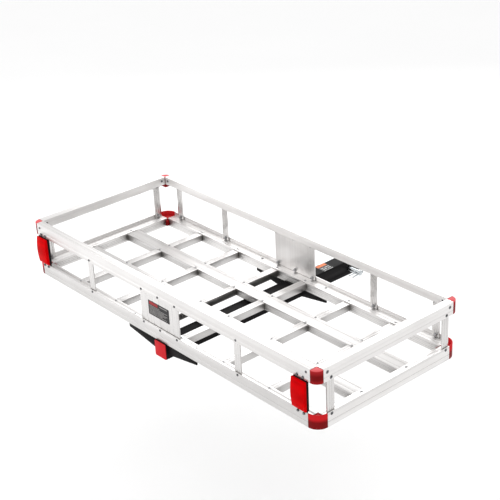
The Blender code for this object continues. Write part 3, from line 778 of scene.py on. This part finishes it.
def place_welds():
    for row in ("rear", "front"):
        for side, sign in (("left", -1), ("right", 1)):
            low, high = span(f"shank_bracket_{row}_{side}")
            root = low.x if sign > 0 else high.x
            back = low.y + BRACKET_THICKNESS
            bottom, top = low.z + WELD_BOTTOM, high.z - WELD_TOP
            weld_bead(f"weld_{row}_{side}", (root, back, bottom), (root, back, top))


# ---- label and sticker --------------------------------------------------------------------
CORNER_STEPS = 4


def printed_patch(name, place, width, height, thickness, corner, finish):
    """A thin patch with rounded corners, lying on the XY plane of place."""
    outline = []
    for quarter, (sx, sy) in enumerate(((1, 1), (-1, 1), (-1, -1), (1, -1))):
        for step in range(CORNER_STEPS + 1):
            angle = math.radians(90 * (quarter + step / CORNER_STEPS))
            x = sx * (width / 2 - corner) + corner * math.cos(angle)
            y = sy * (height / 2 - corner) + corner * math.sin(angle)
            outline.append((x, y))
    shape = bmesh.new()
    closed_over(shape, [[place @ Vector((x, y, z)) for x, y in outline] for z in (0, thickness)])
    piece = made(name, shape, finish)
    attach(piece, "carrier")


PLATE_INSET = 3.3 * MM  # the rear plate's outer face, in from the rail's
LABEL_PLACE = (-3.0 * MM, 91.0 * MM)
LABEL_SIZE = (93.0 * MM, 44.0 * MM)
LABEL_THICKNESS = 0.25 * MM
INK_THICKNESS = 0.08 * MM
LABEL_LEFT = -42.0 * MM
LABEL_BARS = (46, 80, 66, 80, 72, 58, 76)  # each bar's length in mm, from the top row down
LABEL_TOP_ROW = 7.0 * MM
LABEL_ROW_PITCH = 4.0 * MM


def on_label(x, y, layer):
    """A place on the rear plate's outer face, x and y from the label's middle."""
    return on_side("rear", LABEL_PLACE[0] + x, PLATE_INSET - layer, LABEL_PLACE[1] + y)


def place_label():
    """A plain warning-type label: a colour block and rows of bars, with no lettering."""
    top = LABEL_THICKNESS
    printed_patch("plate_label", on_label(0, 0, 0.0), *LABEL_SIZE, top, 2.0 * MM, LABEL_BLACK)
    block = on_label(-23.0 * MM, 15.0 * MM, top)
    printed_patch("label_red_block", block, 38 * MM, 9.5 * MM, INK_THICKNESS, 0.6 * MM, LABEL_RED)
    heading = on_label(21.0 * MM, 16.5 * MM, top)
    printed_patch("label_heading", heading, 34 * MM, 3.0 * MM, INK_THICKNESS, 0.6 * MM, LABEL_GREY)
    for row, bar in enumerate(LABEL_BARS):
        length = bar * MM
        place = on_label(LABEL_LEFT + length / 2, LABEL_TOP_ROW - LABEL_ROW_PITCH * row, top)
        name = f"label_bar_{row + 1}"
        printed_patch(name, place, length, 1.9 * MM, INK_THICKNESS, 0.4 * MM, LABEL_GREY)


STICKER_START = CENTRE_Y + 350 * MM
STICKER_WIDTH = 43 * MM
STICKER_LENGTH = 40 * MM
STICKER_THICKNESS = 0.15 * MM
STICKER_INK = 0.06 * MM
STICKER_MARGIN = 1.5 * MM
STICKER_BARS = (3.0, 37.0)  # where each row of bars starts and ends, in mm from the sticker's edge
STICKER_BREAKS = (15.0, 22.0)  # where each row's first bar ends
STICKER_BREAK_LENGTH = 4.0


def place_sticker():
    """A warning-type sticker on top of the shank: a colour field and rows of plain bars."""
    top = span("hitch_shank")[1].z
    halfway = STICKER_START + STICKER_LENGTH / 2
    base = facing_up(0, halfway, top)
    size = (STICKER_WIDTH, STICKER_LENGTH, STICKER_THICKNESS)
    printed_patch("shank_sticker", base, *size, 1.0 * MM, LABEL_BLACK)
    ink = top + STICKER_THICKNESS
    inner = STICKER_LENGTH - 2 * STICKER_MARGIN
    field = facing_up(-13.5 * MM, halfway, ink)
    printed_patch("sticker_field", field, 14 * MM, inner, STICKER_INK, 0.8 * MM, STICKER_ORANGE)
    border = facing_up(19.5 * MM, halfway, ink)
    printed_patch("sticker_border", border, 1.2 * MM, inner, STICKER_INK, 0.4 * MM, STICKER_WHITE)
    first, last = STICKER_BARS
    for row, gap in enumerate(STICKER_BREAKS):
        x = (2.5 + 8.5 * row) * MM
        for part, (low, high) in enumerate(((first, gap), (gap + STICKER_BREAK_LENGTH, last))):
            place = facing_up(x, STICKER_START + (low + high) / 2 * MM, ink)
            name = f"sticker_bar_{row + 1}_{part + 1}"
            length = (high - low) * MM
            printed_patch(name, place, 2.0 * MM, length, STICKER_INK, 0.4 * MM, STICKER_WHITE)


# ---- building the pieces ------------------------------------------------------------------
def show_frame():
    """Every CAD node in its finish, with countersunk holes in the rails of the two ends."""
    end_rails = {
        "lower_rail_left": ("left", False),
        "lower_rail_right": ("right", False),
        "upper_rail_left": ("left", True),
        "upper_rail_right": ("right", True),
    }
    for node in sorted(NODES):
        cutters = ()
        if node in end_rails:
            cutters = [countersink(place) for place in end_screw_places(*end_rails[node])]
        refined(node, finish_of(node), cutters=cutters)


show_frame()
place_upright_bolts()
place_end_screws()
place_floor_screws()
place_bracket_bolts()
place_reflector_bolts()
place_corner_screws()
place_welds()
place_label()
place_sticker()


# ---- camera, lights and floor -------------------------------------------------------------
CAMERA_AZIMUTH = math.radians(50.097)
CAMERA_ELEVATION = math.radians(26.046)
CAMERA_ROLL = math.radians(-2.886)
CAMERA_DISTANCE = 3.5684
CAMERA_LENS = 89.21
CAMERA_TARGET = BASKET + Vector((-0.0183, 0.0944, 0.150))
FLOOR_DROP = 0.42
FLOOR_REACH = 20.0
FLOOR_GREYS = ((0.955, 0.955, 0.955), (0.965, 0.965, 0.965))


def add_camera():
    """The camera of the photo: it looks at the target from that azimuth and elevation."""
    a, e, r = CAMERA_AZIMUTH, CAMERA_ELEVATION, CAMERA_ROLL
    back = Vector((math.sin(a) * math.cos(e), -math.cos(a) * math.cos(e), math.sin(e)))
    right = Vector((math.cos(a), math.sin(a), 0.0))
    up = back.cross(right)
    across = right * math.cos(r) + up * math.sin(r)
    above = up * math.cos(r) - right * math.sin(r)
    data = bpy.data.cameras.new("camera")
    data.lens = CAMERA_LENS
    data.sensor_width = 36.0
    data.clip_end = 50.0
    camera = bpy.data.objects.new("camera", data)
    bpy.context.scene.collection.objects.link(camera)
    turn = Matrix((across, above, back)).transposed().to_4x4()
    camera.matrix_world = Matrix.Translation(CAMERA_TARGET + back * CAMERA_DISTANCE) @ turn
    bpy.context.scene.camera = camera


def add_softbox(name, place, aim, size, power):
    """A rectangular light that the camera doesn't see."""
    data = bpy.data.lights.new(name, "AREA")
    data.shape = "RECTANGLE"
    data.size, data.size_y = size
    data.energy = power
    lamp = bpy.data.objects.new(name, data)
    bpy.context.scene.collection.objects.link(lamp)
    lamp.location = place
    lamp.visible_camera = False
    lamp.rotation_euler = (Vector(aim) - Vector(place)).to_track_quat("-Z", "Y").to_euler()


def add_studio():
    """A white world and two soft lights."""
    world = bpy.data.worlds.new("studio")
    world.use_nodes = True
    background = world.node_tree.nodes["Background"]
    background.inputs["Color"].default_value = (1.0, 1.0, 1.0, 1.0)
    background.inputs["Strength"].default_value = 1.0
    bpy.context.scene.world = world
    above_front = BASKET + Vector((-1.5, 1.9, 1.6))
    right_of_middle = BASKET + Vector((0.5, 0, 0))
    add_softbox("top_light", above_front, right_of_middle, (2.3, 1.6), 28.0)
    above_left = BASKET + Vector((-2.6, -2.2, 1.5))
    near_floor = BASKET + Vector((-1.4, -1.2, -FLOOR_DROP))
    add_softbox("left_light", above_left, near_floor, (1.6, 1.2), 22.0)


def add_floor():
    """A plain pale floor, well below the carrier, which hangs on its vehicle."""
    material, shader = new_material("floor_paint", {"Roughness": 0.8, "Specular IOR Level": 0.2})
    slow = noise(material, 1.5, detail=2.0)
    colour = mixed(material, ranged(material, slow, 0.3, 0.7, 0.0, 1.0), *FLOOR_GREYS)
    link(material, colour, shader.inputs["Base Color"])
    shape = bmesh.new()
    bmesh.ops.create_grid(shape, x_segments=1, y_segments=1, size=FLOOR_REACH)
    floor = made("floor", shape, material)
    floor.location = (0, 0, BASE - FLOOR_DROP)


add_camera()
add_studio()
add_floor()
bpy.context.scene.view_settings.view_transform = "Standard"
